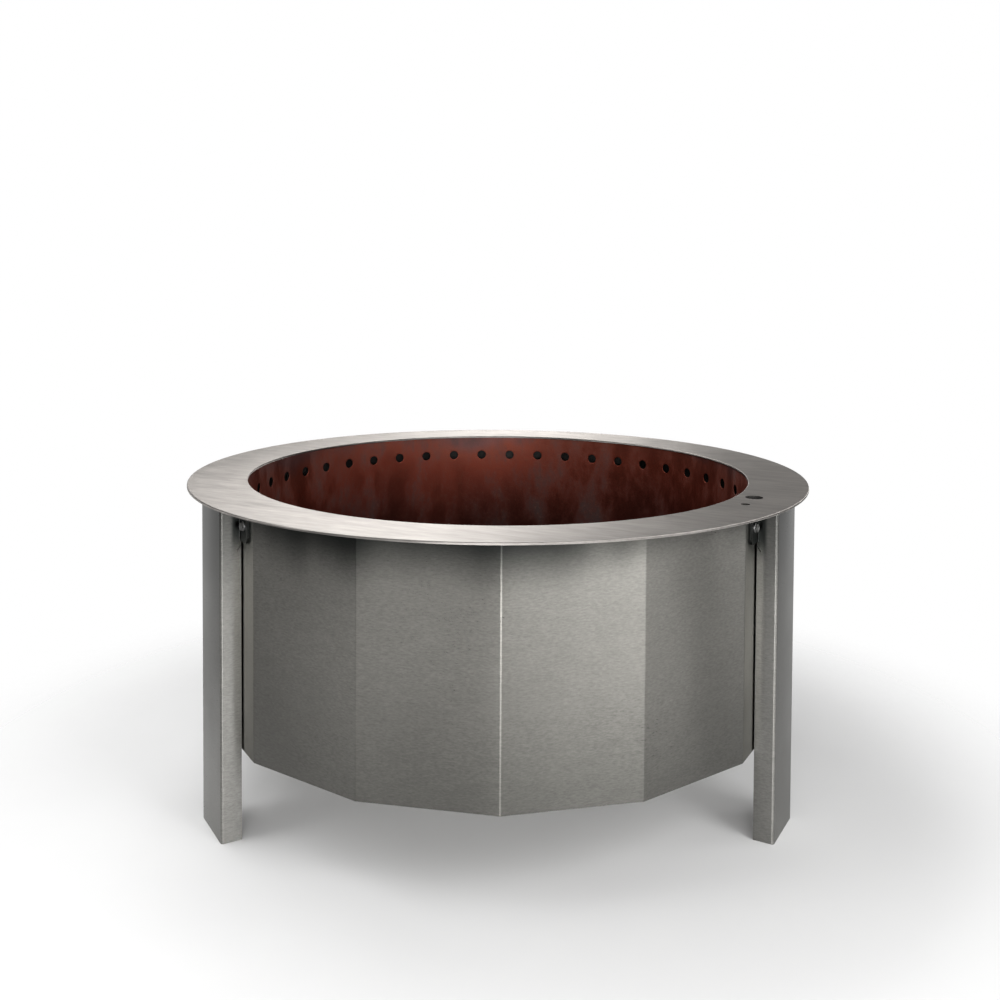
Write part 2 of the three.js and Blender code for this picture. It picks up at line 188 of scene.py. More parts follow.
def disc(radius, level):
    """A ring of points for a bolt or nut."""
    return [(x, y, level) for x, y in circle(radius, BOLT_SEGMENTS)]


def across_of(direction):
    """A direction in plan, turned a quarter turn to its left."""
    return Vector((-direction.y, direction.x))


# Mesh building

def grown(build):
    """A bmesh from a function that fills it, with doubles merged and faces pointing out."""
    mesh = bmesh.new()
    build(mesh)
    bmesh.ops.remove_doubles(mesh, verts=mesh.verts, dist=1e-4)
    bmesh.ops.recalc_face_normals(mesh, faces=mesh.faces)
    return mesh


def loft(mesh, rings):
    """Quads between closed rings of equal length. A ring of one point closes an end."""
    rows = [[mesh.verts.new(point) for point in ring] for ring in rings]
    for low, high in zip(rows, rows[1:]):
        count = max(len(low), len(high))
        for i in range(count):
            j = (i + 1) % count
            corners = [low[i % len(low)], low[j % len(low)],
                       high[j % len(high)], high[i % len(high)]]
            mesh.faces.new(list(dict.fromkeys(corners)))


def lofted(rings):
    return grown(lambda mesh: loft(mesh, rings))


def lathe(profile, segments):
    """A body turned about Z from [radius, height] points. Points on the axis become poles, and a
    profile that starts off the axis closes on itself."""
    rings = []
    for radius, height in profile:
        count = segments if radius else 1
        rings.append([polar(radius, FULL_TURN * i / segments, height) for i in range(count)])
    if profile[0][0]:
        rings.append(rings[0])
    return lofted(rings)


def prism(outline, bottom, top):
    """An upright body on a plain outline."""
    def build(mesh):
        low = [mesh.verts.new((x, y, bottom)) for x, y in outline]
        high = [mesh.verts.new((x, y, top)) for x, y in outline]
        mesh.faces.new(low)
        mesh.faces.new(high)
        for i in range(len(outline)):
            j = (i + 1) % len(outline)
            mesh.faces.new((low[i], low[j], high[j], high[i]))
    return grown(build)


def rod(radius, bottom, top, segments=HOLE_SEGMENTS):
    return prism(circle(radius, segments), bottom, top)


def moved(mesh, matrix):
    bmesh.ops.transform(mesh, matrix=matrix, verts=mesh.verts)
    return mesh


def shifted(mesh, x, y, z):
    return moved(mesh, Matrix.Translation((x, y, z)))


def facing(mesh, azimuth):
    """The mesh turned so that its -Y points outwards at the azimuth."""
    return moved(mesh, Matrix.Rotation(azimuth, 4, "Z"))


def lying(mesh):
    """The mesh turned so that its +Z points to -Y."""
    return moved(mesh, Matrix.Rotation(QUARTER_TURN, 4, "X"))


def cross_rod(radius, length):
    """A round bar along Y, centred on the origin."""
    return lying(rod(radius, -length / 2, length / 2))


def folded(line, sheet, radii, bottom, top):
    """Folded sheet that stands upright: a strip of even thickness along a centre line in plan,
    with an arc at each corner."""
    points = [Vector(point) for point in line]
    left, right = [], []

    def offset(point, across):
        left.append(point + across * sheet / 2)
        right.append(point - across * sheet / 2)

    offset(points[0], across_of((points[1] - points[0]).normalized()))
    for i in range(1, len(points) - 1):
        before = (points[i] - points[i - 1]).normalized()
        after = (points[i + 1] - points[i]).normalized()
        bend = math.atan2(before.x * after.y - before.y * after.x, before.dot(after))
        side = math.copysign(1, bend)
        radius = radii[(i - 1) % len(radii)]
        start = points[i] - before * radius * math.tan(abs(bend) / 2)
        centre = start + across_of(before) * side * radius
        for step in range(FOLD_STEPS + 1):
            across = Matrix.Rotation(bend * step / FOLD_STEPS, 2) @ across_of(before)
            offset(centre - across * side * radius, across)
    offset(points[-1], across_of((points[-1] - points[-2]).normalized()))

    def build(mesh):
        grid = [[[mesh.verts.new((p.x, p.y, z)) for p in run] for z in (bottom, top)]
                for run in (left, right)]
        near, far = grid
        for i in range(len(left) - 1):
            for low, high in grid:
                mesh.faces.new((low[i], low[i + 1], high[i + 1], high[i]))
            for inner, outer in zip(near, far):
                mesh.faces.new((inner[i], inner[i + 1], outer[i + 1], outer[i]))
        for i in (0, -1):
            mesh.faces.new((near[0][i], near[1][i], far[1][i], far[0][i]))
    return grown(build)


def mesh_data(mesh, name):
    """Mesh data from a bmesh, which is freed."""
    data = bpy.data.meshes.new(name)
    mesh.to_mesh(data)
    mesh.free()
    return data


def placed(name, data):
    """A new object in the scene."""
    item = bpy.data.objects.new(name, data)
    bpy.context.scene.collection.objects.link(item)
    return item


def merged(meshes):
    """Several meshes as one."""
    whole = bmesh.new()
    for part in meshes:
        data = mesh_data(part, "part")
        whole.from_mesh(data)
        bpy.data.meshes.remove(data)
    return whole


def carved(mesh, tools, operation="DIFFERENCE"):
    """The mesh with the tools cut out of it, or joined to it."""
    body = placed("scratch", mesh_data(mesh, "scratch"))
    tool = placed("scratch", mesh_data(merged(tools), "scratch"))
    modifier = body.modifiers.new("carve", "BOOLEAN")
    modifier.operation = operation
    modifier.solver = "EXACT"
    modifier.object = tool
    bpy.context.view_layer.update()
    evaluated = body.evaluated_get(bpy.context.evaluated_depsgraph_get())
    result = bmesh.new()
    result.from_mesh(evaluated.to_mesh())
    evaluated.to_mesh_clear()
    for item in (body, tool):
        data = item.data
        bpy.data.objects.remove(item)
        bpy.data.meshes.remove(data)
    return result


def break_edges(item, width, sharp):
    """A small bevel on the edges of an object that bend by more than sharp degrees."""
    bevel = item.modifiers.new("edge", "BEVEL")
    bevel.width = width * MM
    bevel.segments = 2
    bevel.limit_method = "ANGLE"
    bevel.angle_limit = math.radians(sharp)
    return bevel


def piece(node, mesh, edge=FINE_EDGE, sharp=FINE_SHARP, in_shade=None):
    """A finished piece that stands for a node: its sharp edges are broken by a small bevel,
    and its bends are shaded smooth. The last argument tells which of its faces lie in shade and get
    a dark steel that paints that shade."""
    if in_shade:
        mesh.normal_update()
        for face in mesh.faces:
            face.material_index = int(in_shade(face))
    moved(mesh, Matrix.Scale(MM, 4))
    for face in mesh.faces:
        face.smooth = True
    for line in mesh.edges:
        if len(line.link_faces) == 2:
            line.smooth = line.calc_face_angle(0) < math.radians(sharp)
    made = placed(f"{node}_fine", mesh_data(mesh, f"{node}_fine"))
    made.data.materials.append(FINISHES[SLOTS[node]])
    # Faces in shade get a second, dark steel that paints their shade.
    if in_shade:
        made.data.materials.append(FINISHES["painted_shade_steel"])
    if edge:
        break_edges(made, edge, sharp).harden_normals = True
    else:
        made.modifiers.new("normals", "WEIGHTED_NORMAL").keep_sharp = True
    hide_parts(node)
    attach(made, BODIES[node])


# Node trees

class Tree:
    """A small builder for shader node trees."""

    def __init__(self, tree):
        self.nodes = tree.nodes
        self.links = tree.links
        self.nodes.clear()

    def feed(self, value, socket):
        """Links a socket, or sets a plain value."""
        if isinstance(value, bpy.types.NodeSocket):
            self.links.new(value, socket)
        elif value is not None:
            socket.default_value = value

    def add(self, kind, inputs=None, **settings):
        node = self.nodes.new(kind)
        for name, value in settings.items():
            setattr(node, name, value)
        for name, value in (inputs or {}).items():
            self.feed(value, node.inputs[name])
        return node

    def math(self, operation, a, b=None, c=None):
        node = self.add("ShaderNodeMath", operation=operation)
        for socket, value in zip(node.inputs, (a, b, c)):
            self.feed(value, socket)
        return node.outputs[0]

    def place(self):
        return self.add("ShaderNodeTexCoord").outputs["Object"]

    def split(self, vector):
        return self.add("ShaderNodeSeparateXYZ", {"Vector": vector}).outputs

    def radius(self, x, y):
        """The distance from the Z axis."""
        return self.math("SQRT", self.math("MULTIPLY_ADD", x, x, self.math("MULTIPLY", y, y)))

    def stretch(self, vector, scale, turn=0.0):
        """The vector turned about Z, then scaled on each axis."""
        turned = self.add("ShaderNodeMapping", {"Vector": vector, "Rotation": (0, 0, turn)})
        scaled = self.add("ShaderNodeVectorMath", operation="MULTIPLY")
        self.feed(turned.outputs[0], scaled.inputs[0])
        self.feed(scale, scaled.inputs[1])
        return scaled.outputs[0]

    def noise(self, vector, scale=1.0, detail=4.0, roughness=0.55):
        return self.add("ShaderNodeTexNoise", {
            "Vector": vector, "Scale": scale, "Detail": detail,
            "Roughness": roughness}).outputs["Fac"]

    def ramp(self, value, stops):
        """A colour ramp from (position, colour) stops; a plain number is a grey."""
        node = self.add("ShaderNodeValToRGB", {"Fac": value})
        band = node.color_ramp
        while len(band.elements) > 1:
            band.elements.remove(band.elements[-1])
        for index, (position, colour) in enumerate(stops):
            element = band.elements[0] if index == 0 else band.elements.new(position)
            element.position = position
            element.color = (*(colour if isinstance(colour, tuple) else (colour,) * 3), 1)
        return node.outputs["Color"]

    def span(self, value, low, high, to_low=0.0, to_high=1.0, smooth=True):
        """The value carried from one span to another, held at its ends."""
        return self.add("ShaderNodeMapRange", {
            "Value": value, "From Min": low, "From Max": high, "To Min": to_low, "To Max": to_high},
            interpolation_type="SMOOTHSTEP" if smooth else "LINEAR").outputs["Result"]

    def mix(self, share, a, b):
        node = self.add("ShaderNodeMix", data_type="RGBA")
        self.feed(share, node.inputs[0])
        for value, socket in ((a, node.inputs[6]), (b, node.inputs[7])):
            self.feed((*value, 1) if isinstance(value, tuple) else value, socket)
        return node.outputs[2]

    def bump(self, height, distance, normal=None):
        node = self.add("ShaderNodeBump", {"Height": height, "Distance": distance})
        self.feed(normal, node.inputs["Normal"])
        return node.outputs[0]


def material(name):
    made = bpy.data.materials.new(name)
    made.use_nodes = True
    tree = Tree(made.node_tree)
    shader = tree.add("ShaderNodeBsdfPrincipled")
    output = tree.add("ShaderNodeOutputMaterial")
    tree.links.new(shader.outputs[0], output.inputs["Surface"])
    return made, tree, shader


def shade(colour, factor):
    return tuple(min(1.0, channel * factor) for channel in colour)


# The brushing's noise scale along X, Y and Z: high across the brushing and low along it. The rim's
# lies along X before it is turned in plan.
LEVEL_GRAIN = (170.0, 170.0, 560.0)
RIM_GRAIN = (20.0, 130.0, 130.0)
RIM_GRAIN_TURN = math.radians(25)
BROAD_GRAIN = 0.16
FINE_SHARE = 0.82
ROUGHNESS_SWING = 0.05
DENT_SCALE = (9.0, 9.0, 2.2)
DENT_DEPTH = 0.0012

# Painted shade on brushed steel, as darkenings of the colour. On the wall, a band under the rim
# paints the rim's shadow and the reflection of its underside, with some heat tint, and a darkening
# towards the bottom paints a darker reflection of the ground. On the legs, a darkening towards the
# top paints the rim's shadow, and a deeper one near the wall paints the shade on the flanges and ears
# next to it.
# Each gives the levels where it begins and is full, its share, how much higher it lies at the right,
# where more light falls, and whether it lies only near the wall. Fingers blur their edges.
WALL_PAINTED_SHADE = ((0.38, 0.462, 0.95, 0.034, False), (0.33, 0.08, 0.45, 0.0, False))
LEG_PAINTED_SHADE = ((0.3, 0.44, 0.58, 0.0, False), (0.375, 0.42, 0.88, 0.0, True))
# The hue and depth of the painted shade, the span in X over which it lifts at the right, where more
# light falls, and the radii from which the painted shade near the wall fades in.
PAINTED_SHADE_HUE = (0.85, 1.0, 0.97)
PAINTED_SHADE_LEVEL = 0.06
PAINTED_SHADE_RIGHT = (0.0, 0.28)
PAINTED_SHADE_NEAR_WALL = (0.449, 0.443)
FINGER_SCALE = (11.0, 11.0, 1.2)
FINGER_REACH = 0.011


def brushed_steel(name, colour, grain, turn=0.0, roughness=0.32, contrast=0.19, cloud_share=0.14,
                  tangent=("Z", 0.25), bulge=0.0, painted_shade=()):
    """Brushed steel. turn carries the brushing onto X in plan. tangent is the axis of the radial
    tangent and its rotation. bulge is how far, in millimetres, the middle of each of the wall's
    facets stands out. The last argument lists darkenings of the colour that paint shade under
    the rim, towards the bottom and near the wall."""
    made, tree, shader = material(name)
    place = tree.place()
    x, y, z = tree.split(place)

    fine = tree.noise(tree.stretch(place, grain, turn), detail=5.0, roughness=0.65)
    broad_grain = [value * BROAD_GRAIN for value in grain]
    broad = tree.noise(tree.stretch(place, broad_grain, turn), detail=3.0)
    cloud = tree.noise(place, 6.0, detail=3.0)
    streaks = tree.math("ADD", tree.math("MULTIPLY", fine, FINE_SHARE),
                        tree.math("MULTIPLY", broad, 1 - FINE_SHARE))
    tint = tree.ramp(tree.span(streaks, 0.34, 0.66, smooth=False),
                     [(0, shade(colour, 1 - contrast)), (1, shade(colour, 1 + contrast))])
    tint = tree.mix(tree.span(cloud, 0.38, 0.72, 0.0, cloud_share), tint, shade(colour, 0.72))

    # Painted shade: the colour is darkened under the rim, towards the bottom and near the wall, where
    # shade falls.
    if painted_shade:
        fingers = tree.noise(tree.stretch(place, FINGER_SCALE), detail=1.0)
        height = tree.math("ADD", z, tree.span(fingers, 0.3, 0.7, -FINGER_REACH, FINGER_REACH))
    for start, end, share, rise, near_wall in painted_shade:
        level = height
        if rise:
            level = tree.math("ADD", height, tree.span(x, *PAINTED_SHADE_RIGHT, 0.0, -rise))
        amount = tree.span(level, start, end, 0.0, share)
        if near_wall:
            inner = tree.span(tree.radius(x, y), *PAINTED_SHADE_NEAR_WALL)
            amount = tree.math("MULTIPLY", amount, inner)
        tint = tree.mix(amount, tint, shade(PAINTED_SHADE_HUE, colour[0] * PAINTED_SHADE_LEVEL))
    tree.feed(tint, shader.inputs["Base Color"])

    swing = tree.span(streaks, 0.3, 0.7, roughness - ROUGHNESS_SWING, roughness + ROUGHNESS_SWING,
                      smooth=False)
    gloss = tree.math("ADD", swing, tree.span(cloud, 0.3, 0.7, -0.02, 0.04))
    tree.feed(gloss, shader.inputs["Roughness"])

    normal = tree.bump(tree.noise(tree.stretch(place, DENT_SCALE), detail=1.0), DENT_DEPTH)
    if bulge:
        azimuth = tree.math("ARCTAN2", x, tree.math("MULTIPLY", y, -1.0))
        facet = tree.math("FRACT", tree.math("DIVIDE", azimuth, FACET_ANGLE))
        across = tree.math("MULTIPLY_ADD", facet, 2.0, -1.0)
        hollow = tree.math("MULTIPLY", tree.math("MULTIPLY", across, across), -1.0)
        normal = tree.bump(hollow, bulge * MM, normal)
    tree.feed(normal, shader.inputs["Normal"])

    axis, rotation = tangent
    radial = tree.add("ShaderNodeTangent", direction_type="RADIAL", axis=axis)
    tree.feed(radial.outputs[0], shader.inputs["Tangent"])
    shader.inputs["Metallic"].default_value = 1.0
    shader.inputs["Anisotropic"].default_value = 1.0
    shader.inputs["Anisotropic Rotation"].default_value = rotation
    return made


def burnt_steel(name):
    """The burn chamber's steel: temper colours near the rim, rust-brown below, soot in patches."""
    made, tree, shader = material(name)
    place = tree.place()
    height = tree.split(place)["Z"]
    drift = tree.noise(tree.stretch(place, (5.0, 5.0, 3.0)), detail=4.0, roughness=0.6)
    level = tree.math("ADD", height, tree.span(drift, 0.25, 0.75, -0.045, 0.045, smooth=False))
    temper = tree.ramp(tree.span(level, 0.15, 0.47, smooth=False), [
        (0.0, (0.022, 0.014, 0.013)),
        (0.3, (0.045, 0.015, 0.012)),
        (0.6, (0.105, 0.023, 0.015)),
        (0.82, (0.16, 0.032, 0.018)),
        (0.93, (0.17, 0.042, 0.026)),
        (1.0, (0.12, 0.05, 0.045))])
    soot = tree.noise(tree.stretch(place, (18.0, 18.0, 9.0)), detail=6.0, roughness=0.65)
    tint = tree.mix(tree.span(soot, 0.46, 0.72, 0.0, 0.75), temper, (0.02, 0.016, 0.015))
    grime = tree.noise(place, 160.0, detail=4.0, roughness=0.7)
    tint = tree.mix(tree.span(grime, 0.5, 0.7, 0.0, 0.35), tint, (0.13, 0.045, 0.028))
    tree.feed(tint, shader.inputs["Base Color"])
    tree.feed(tree.span(soot, 0.35, 0.7, 0.36, 0.68), shader.inputs["Roughness"])
    tree.feed(tree.span(soot, 0.45, 0.7, 0.85, 0.2), shader.inputs["Metallic"])
    tree.feed(tree.bump(grime, 0.00025), shader.inputs["Normal"])
    return made


def sooted_steel(name):
    """Grate and pan: scaled dark steel with patches of rust."""
    made, tree, shader = material(name)
    place = tree.place()
    scale = tree.noise(place, 42.0, detail=7.0, roughness=0.68)
    patches = tree.noise(place, 9.0, detail=4.0, roughness=0.6)
    tint = tree.ramp(tree.span(scale, 0.3, 0.72, smooth=False), [
        (0.0, (0.014, 0.013, 0.013)),
        (0.55, (0.042, 0.036, 0.033)),
        (1.0, (0.085, 0.066, 0.055))])
    tint = tree.mix(tree.span(patches, 0.5, 0.72, 0.0, 0.6), tint, (0.13, 0.058, 0.033))
    tree.feed(tint, shader.inputs["Base Color"])
    tree.feed(tree.span(scale, 0.3, 0.7, 0.55, 0.85), shader.inputs["Roughness"])
    tree.feed(tree.span(scale, 0.35, 0.7, 0.25, 0.75), shader.inputs["Metallic"])
    tree.feed(tree.bump(scale, 0.0004), shader.inputs["Normal"])
    return made


def mill_steel(name, colour, roughness):
    """Plain mill or plated steel, speckled and a little cloudy."""
    made, tree, shader = material(name)
    place = tree.place()
    fine = tree.noise(place, 420.0, detail=3.0)
    cloud = tree.noise(place, 14.0, detail=4.0)
    tint = tree.ramp(tree.span(fine, 0.3, 0.7), [(0, shade(colour, 0.9)), (1, shade(colour, 1.1))])
    tint = tree.mix(tree.span(cloud, 0.35, 0.7, 0.0, 0.3), tint, shade(colour, 0.7))
    tree.feed(tint, shader.inputs["Base Color"])
    gloss = tree.span(cloud, 0.3, 0.7, roughness - 0.06, roughness + 0.08)
    tree.feed(gloss, shader.inputs["Roughness"])
    tree.feed(tree.bump(fine, 0.00003), shader.inputs["Normal"])
    shader.inputs["Metallic"].default_value = 1.0
    return made


FINISHES = {
    "rim_steel": brushed_steel(
        "rim_steel", (0.345, 0.324, 0.305), RIM_GRAIN, RIM_GRAIN_TURN, roughness=0.48,
        contrast=0.22, cloud_share=0.1, tangent=("X", 155 / 360)),
    # The wall's and the legs' colour is darkened to paint shade under the rim, towards the bottom and
    # near the wall.
    "wall_steel": brushed_steel(
        "wall_steel", (0.22, 0.214, 0.197), LEVEL_GRAIN, bulge=0.9, painted_shade=WALL_PAINTED_SHADE),
    "leg_steel": brushed_steel(
        "leg_steel", (0.22, 0.216, 0.203), LEVEL_GRAIN, painted_shade=LEG_PAINTED_SHADE),
    "burnt_steel": burnt_steel("burnt_steel"),
    "inner_steel": mill_steel("inner_steel", (0.42, 0.41, 0.39), 0.5),
    "sooted_steel": sooted_steel("sooted_steel"),
    "zinc_steel": mill_steel("zinc_steel", (0.3, 0.3, 0.294), 0.36),
    # A dark steel that paints the shade in the sides of holes, inside the socket and on the wall's
    # inner faces.
    "painted_shade_steel": mill_steel("painted_shade_steel", (0.07, 0.067, 0.063), 0.6),
}


# Pieces

def rim():
    """A plate ring with rounded upper edges, the post hole over the right leg and the pin hole
    beside it."""
    profile = [(RIM_INNER, RIM_UNDER), (RIM_OUTER, RIM_UNDER)]
    for centre, quarter in ((RIM_OUTER - RIM_EDGE, 0), (RIM_INNER + RIM_EDGE, 1)):
        for step in range(4):
            angle = QUARTER_TURN * (quarter + step / 3)
            profile.append((centre + RIM_EDGE * math.cos(angle),
                            HEIGHT - RIM_EDGE + RIM_EDGE * math.sin(angle)))
    low, high = RIM_UNDER - OVERCUT, HEIGHT + OVERCUT
    post = shifted(rod(POST_HOLE, low, high, POST_SEGMENTS), 0, -POST_RADIUS, 0)
    pin = shifted(rod(PIN_HOLE, low, high), *PIN_PLACE, 0)
    holes = [facing(hole, leg_azimuth(0)) for hole in (post, pin)]
    return carved(lathe(profile, RIM_SEGMENTS), holes)


def hole_side(face):
    """Whether a face of the rim is the side of one of its holes."""
    margin = 5
    reach = face.calc_center_median().xy.length
    return abs(face.normal.z) < 0.3 and RIM_INNER + margin < reach < RIM_OUTER - margin


def looks_at(axis):
    """A test of whether a face looks at an upright axis."""
    def test(face):
        outwards = (face.calc_center_median().xy - axis).normalized()
        return face.normal.xy.dot(outwards) < -0.5
    return test


# The sides of the rim's holes get the dark steel that paints their shade.
piece("rim", rim(), edge=0, sharp=40, in_shade=hole_side)


def panel():
    """One of the outer wall's panels: five facets folded from one sheet, half a facet at each end,
    drilled for the leg bolts."""
    middle = WALL_OUTER - WALL_SHEET / 2
    corner = middle / math.cos(FACET_ANGLE / 2)
    half_span = LEG_ANGLE / 2

    def end(sign):
        return Matrix.Rotation(sign * half_span, 2) @ Vector((-sign * SEAM_SETBACK, -middle))

    folds = [polar(corner, -half_span + (i + 0.5) * FACET_ANGLE, 0)[:2]
             for i in range(FACETS // len(PANELS))]
    strip = folded([end(-1), *folds, end(1)], WALL_SHEET, [WALL_BEND], WALL_BOTTOM, WALL_TOP)
    holes = []
    for sign in (-1, 1):
        hole = cross_rod(BOLT_HOLE, WALL_SHEET + 2 * OVERCUT)
        shifted(hole, -sign * BOLT_OFFSET, -middle, BOLT_LEVEL)
        holes.append(facing(hole, sign * half_span))
    return carved(strip, holes)


# The panels' inner faces get the dark steel that paints the shade between the wall and the chamber.
for index, side in enumerate(PANELS):
    piece(f"outer_panel_{side}", facing(panel(), index * LEG_ANGLE), sharp=20,
          in_shade=looks_at(Vector((0, 0))))


def leg():
    """A folded channel, with two ears folded outwards at its top and a slanted relief cut under
    each."""
    side = (LEG_WIDTH - LEG_SHEET) / 2
    web = LEG_REACH - LEG_SHEET / 2
    edge = WALL_OUTER + LEG_CLEARANCE
    ear = EAR_FACE + LEG_SHEET / 2
    tip = LEG_WIDTH / 2 + EAR_WIDTH
    corners = [(-side, -web), (side, -web)]
    channel = folded([(-side, -edge), *corners, (side, -edge)], LEG_SHEET, [LEG_BEND], 0, EAR_LEVEL)
    hat = folded([(-tip, -ear), (-side, -ear), *corners, (side, -ear), (tip, -ear)], LEG_SHEET,
                 [EAR_BEND, LEG_BEND, LEG_BEND, EAR_BEND], EAR_LEVEL, LEG_HEIGHT)
    body = carved(hat, [channel], "UNION")

    start = OVERCUT - EAR_FACE
    deep = start - RELIEF_REACH
    slant = [(start, 0), (deep, -RELIEF_DROP), (deep, -RELIEF_DROP - RELIEF_WIDTH),
             (start, -RELIEF_WIDTH)]
    relief = prism(slant, -LEG_WIDTH / 2 - OVERCUT, LEG_WIDTH / 2 + OVERCUT)
    onto_x = Matrix(((0, 0, 1, 0), (1, 0, 0, 0), (0, 1, 0, EAR_LEVEL), (0, 0, 0, 1)))
    tools = [moved(relief, onto_x)]

    # What is cut off an ear's lower corner to round it.
    rounding = []
    for step in range(9):
        angle = (step / 8 - 1) * QUARTER_TURN
        rounding.append(((math.cos(angle) - 1) * EAR_CORNER, (math.sin(angle) + 1) * EAR_CORNER))
    rounding += [(OVERCUT, EAR_CORNER), (OVERCUT, -OVERCUT), (-EAR_CORNER, -OVERCUT)]
    for sign in (-1, 1):
        corner = lying(prism([(x * sign, z) for x, z in rounding], -LEG_SHEET - OVERCUT, OVERCUT))
        tools.append(shifted(corner, sign * tip, -EAR_FACE - LEG_SHEET, EAR_LEVEL))
        hole = cross_rod(BOLT_HOLE, LEG_SHEET + 2 * OVERCUT)
        tools.append(shifted(hole, sign * BOLT_OFFSET, -ear, BOLT_LEVEL))
    return carved(body, tools)


def hex_rings(bottom, top, both=False):
    """A hexagon with its corners chamfered at the top, or at both ends: rings for a loft, from the
    bottom up."""
    flat = HEX_FLATS / 2
    crown = flat * HEX_CROWN
    slope = math.tan(math.radians(30))

    def ring(level, away):
        """The hexagon's outline, with its corners drawn down from the level, or up with away -1."""
        points = []
        for i in range(BOLT_SEGMENTS):
            angle = FULL_TURN * i / BOLT_SEGMENTS
            reach = flat / math.cos(angle % (FULL_TURN / 6) - FULL_TURN / 12)
            drop = max(0.0, reach - crown) * slope * away
            points.append((reach * math.cos(angle), reach * math.sin(angle), level - drop))
        return points

    rings = [ring(bottom, -1.0 if both else 0.0), ring(top, 1.0), disc(crown, top)]
    return [disc(crown, bottom), *rings] if both else rings


def bolt():
    """A flanged hexagon bolt along Y, for a seat at zero: its shank points to +Y."""
    reach = LEG_SHEET + EAR_FACE - WALL_INNER + SEAT + NUT_HEIGHT + BOLT_EXCESS
    rings = [[(0, 0, -reach)], disc(BOLT_RADIUS - 1, -reach), disc(BOLT_RADIUS, 1 - reach),
             disc(BOLT_RADIUS, SEAT)]
    rings += [disc(radius, SEAT + rise) for radius, rise in BOLT_FLANGE]
    rings += hex_rings(SEAT + HEAD_BOTTOM, SEAT + HEAD_TOP)
    sunk = SEAT + HEAD_TOP - 0.3
    rings += [disc(HEAD_DIMPLE, SEAT + HEAD_TOP), disc(HEAD_DIMPLE - 0.4, sunk), [(0, 0, sunk)]]
    return lying(lofted(rings))


def nut():
    """A hexagon nut along Y, from its outer face at zero towards +Y."""
    rings = [disc(NUT_BORE, NUT_LEAD - NUT_HEIGHT), disc(NUT_BORE + NUT_LEAD, -NUT_HEIGHT),
             *hex_rings(-NUT_HEIGHT, 0.0, both=True), disc(NUT_BORE + NUT_LEAD, 0.0),
             disc(NUT_BORE, -NUT_LEAD)]
    return lying(lofted([*rings, rings[0]]))


for index, side in enumerate(LEGS):
    azimuth = leg_azimuth(index)
    piece(f"leg_{side}", facing(leg(), azimuth))
    for hand, sign in enumerate((-1, 1)):
        for name, mesh, depth in (("bolt", bolt(), -EAR_FACE - LEG_SHEET),
                                  ("nut", nut(), SEAT - WALL_INNER)):
            shifted(mesh, sign * BOLT_OFFSET, depth, BOLT_LEVEL)
            piece(f"leg_{name}_{side}_{hand + 1}", facing(mesh, azimuth), edge=0)


def chamber():
    """The burn chamber: a rolled sheet with a row of air holes under the rim and a row low down. It
    is laid out flat as a grid of one-degree columns with a cell round each hole, then rolled up.
    Depth counts from the inner face outwards."""
    columns = 360
    pitch = CHAMBER_INNER * math.radians(1)
    sheet = CHAMBER_SHEET
    # The rounded edge of a hole, from its inner face to its outer: reach beyond the radius, depth.
    hole_edge = ((CELL_RIM, 0), (0.9, 0), (HOLE_ROUNDING, 0.12), (0, 0.5),
                 (0, sheet - 0.3), (0.3, sheet), (CELL_RIM, sheet))

    def rolled(along, level, depth):
        return polar(CHAMBER_INNER + depth, along / CHAMBER_INNER, level)

    def row(level, depth):
        return [rolled(i * pitch, level, depth) for i in range(columns)]

    def cell(mesh, centre, level, width, half, radius):
        """The sheet round one hole: width columns wide, and twice half high."""
        side = width / 2 * pitch
        rise = 2 * half / CELL_ROWS
        border = [(-side + i * pitch, -half) for i in range(width)]
        border += [(side, -half + rise * i) for i in range(CELL_ROWS)]
        border += [(side - i * pitch, half) for i in range(width)]
        border += [(-side, half - rise * i) for i in range(CELL_ROWS)]
        start = math.atan2(-half, -side)
        angles = [start + FULL_TURN * i / len(border) for i in range(len(border))]

        def outer(depth):
            return [rolled(centre + x, level + z, depth) for x, z in border]

        def ring(reach, depth):
            return [rolled(centre + reach * math.cos(angle), level + reach * math.sin(angle), depth)
                    for angle in angles]

        rings = [ring(radius + reach, depth) for reach, depth in hole_edge]
        loft(mesh, [outer(0), *rings, outer(sheet)])

    def build(mesh):
        upper, _, upper_half, _ = UPPER_HOLES
        lower, _, lower_half, _ = LOWER_HOLES
        bands = ((CHAMBER_BOTTOM, lower - lower_half),
                 (lower + lower_half, *PLAIN_LEVELS, upper - upper_half),
                 (upper + upper_half, WALL_TOP))
        for depth in (0, sheet):
            for levels in bands:
                loft(mesh, [row(level, depth) for level in levels])
        for level in (CHAMBER_BOTTOM, WALL_TOP):
            loft(mesh, [row(level, 0), row(level, sheet)])
        for level, width, half, radius in (UPPER_HOLES, LOWER_HOLES):
            for i in range(columns // width):
                cell(mesh, i * width * pitch, level, width, half, radius)
    return grown(build)


piece("inner_wall", chamber(), edge=0, sharp=50)


